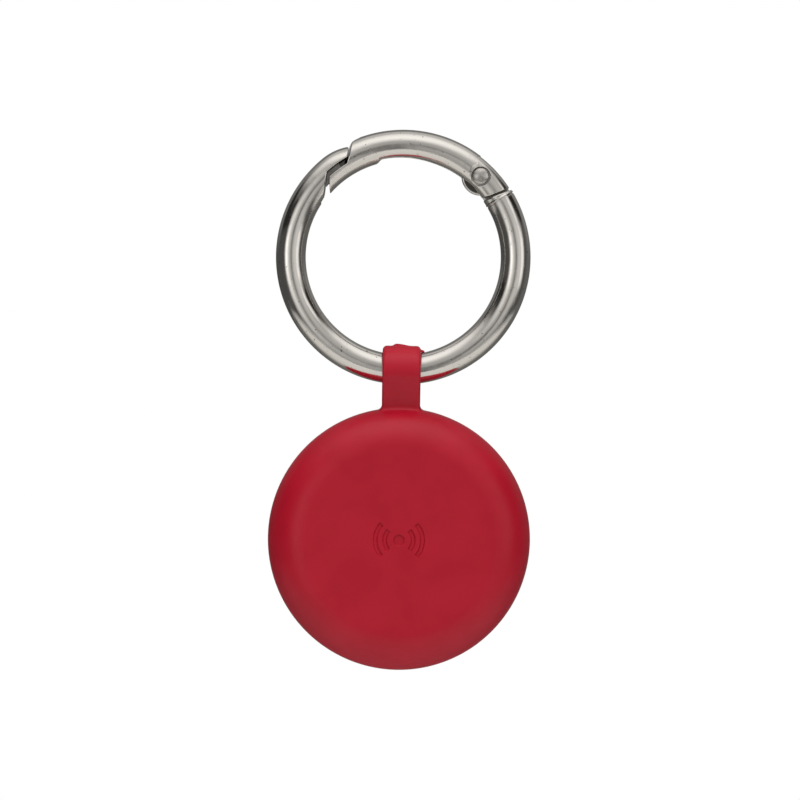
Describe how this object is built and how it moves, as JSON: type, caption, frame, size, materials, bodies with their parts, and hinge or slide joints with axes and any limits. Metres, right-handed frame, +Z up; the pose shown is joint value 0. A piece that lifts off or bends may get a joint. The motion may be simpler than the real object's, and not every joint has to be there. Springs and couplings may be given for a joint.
{
  "type": "bluetooth tracker tag",
  "caption": "Round coin-cell radio tracker in a soft sleeve whose strap loop hangs from a spring-gate key ring.",
  "frame": {"origin": "centre of the key ring, which is the piece the tag hangs from", "axes": "+Z up along the strap with the tag hanging, +X right seen from the front, the closed front face of the disc towards -Y and the battery cover towards +Y"},
  "size_m": [0.038, 0.0104, 0.0783],
  "materials": {
    "nickel": "polished nickel plate on zinc alloy",
    "rivet_steel": "polished steel",
    "spring_steel": "bare spring steel",
    "red_silicone": "matte soft-touch silicone",
    "shell_white": "gloss moulded plastic",
    "rear_white": "gloss moulded plastic",
    "tray_plastic": "matte moulded plastic",
    "frame_plastic": "matte moulded plastic",
    "board_laminate": "glass laminate with solder mask",
    "chip_black": "moulded chip package",
    "tin_can": "tinned screening can",
    "crystal_can": "plated lid",
    "passive_ceramic": "fired ceramic with tinned ends",
    "gold_pad": "gold plate",
    "copper": "enamelled copper",
    "magnet_plate": "nickel plate",
    "yoke_steel": "zinc-plated steel",
    "contact_plate": "gold-flashed spring bronze",
    "cell_steel": "plain stainless steel",
    "cell_gasket_black": "moulded gasket",
    "lithium": "soft metal foil",
    "separator_white": "porous sheet",
    "cathode_grey": "pressed powder",
    "seal_grey": "soft seal",
    "cover_steel": "polished stainless steel",
    "cover_plastic": "moulded plastic",
    "foam": "open foam"
  },
  "bodies": {
    "ring": {"ring_body": "nickel"},
    "gate": {"ring_gate": "nickel", "gate_rivet": "rivet_steel", "gate_spring": "spring_steel"},
    "holder": {"sleeve": "red_silicone"},
    "tracker": {"front_shell": "shell_white", "rear_shell": "rear_white", "battery_tray": "tray_plastic", "antenna_frame": "frame_plastic", "circuit_board": "board_laminate", "radio_chip": "chip_black", "ranging_module": "tin_can", "memory_chip": "chip_black", "sound_chip": "chip_black", "motion_sensor": "chip_black", "crystals": "crystal_can", "board_passives": "passive_ceramic", "test_pads": "gold_pad", "voice_coil": "copper", "magnet_cup": "yoke_steel", "speaker_magnet": "magnet_plate", "pole_plate": "yoke_steel", "radio_antenna": "copper", "ranging_antenna": "copper", "tap_coil": "copper", "contact_negative": "contact_plate", "contacts_positive": "contact_plate"},
    "seal": {"cover_seal": "seal_grey"},
    "cover": {"battery_cover": "cover_steel", "cover_ring": "cover_plastic", "foam_pad": "foam"},
    "coin_cell": {"cell_can": "cell_steel", "cell_cap": "cell_steel", "cell_gasket": "cell_gasket_black", "cell_anode": "lithium", "cell_separator": "separator_white", "cell_cathode": "cathode_grey"}
  },
  "joints": [
    {"name": "gate_pivot", "type": "hinge", "parent": "ring", "child": "gate", "pos_m": [0.01098, 0, 0.01182], "axis": [0, -1, 0], "range_deg": [0, 40], "stiffness_Nm_per_rad": 0.03, "springref_deg": -28.65, "deforming": ["gate_spring"]},
    {"name": "tag_swing", "type": "hinge", "parent": "ring", "child": "holder", "pos_m": [0, 0, -0.0163], "axis": [1, 0, 0], "range_deg": [-135, 90]},
    {"name": "tracker_slide", "type": "slide", "parent": "holder", "child": "tracker", "axis": [0, 1, 0], "range_m": [0, 0.014]},
    {"name": "cover_lift", "type": "slide", "parent": "tracker", "child": "seal", "axis": [0, 1, 0], "range_m": [0, 0.014]},
    {"name": "cover_turn", "type": "hinge", "parent": "seal", "child": "cover", "pos_m": [0, 0.0035, -0.04085], "axis": [0, 1, 0], "range_deg": [0, 20]},
    {"name": "cell_lift", "type": "slide", "parent": "tracker", "child": "coin_cell", "axis": [0, 1, 0], "range_m": [0, 0.007]}
  ],
  "couplings": [
    {"joint": "cell_lift", "follows": "cover_lift", "ratio": 0.5}
  ]
}
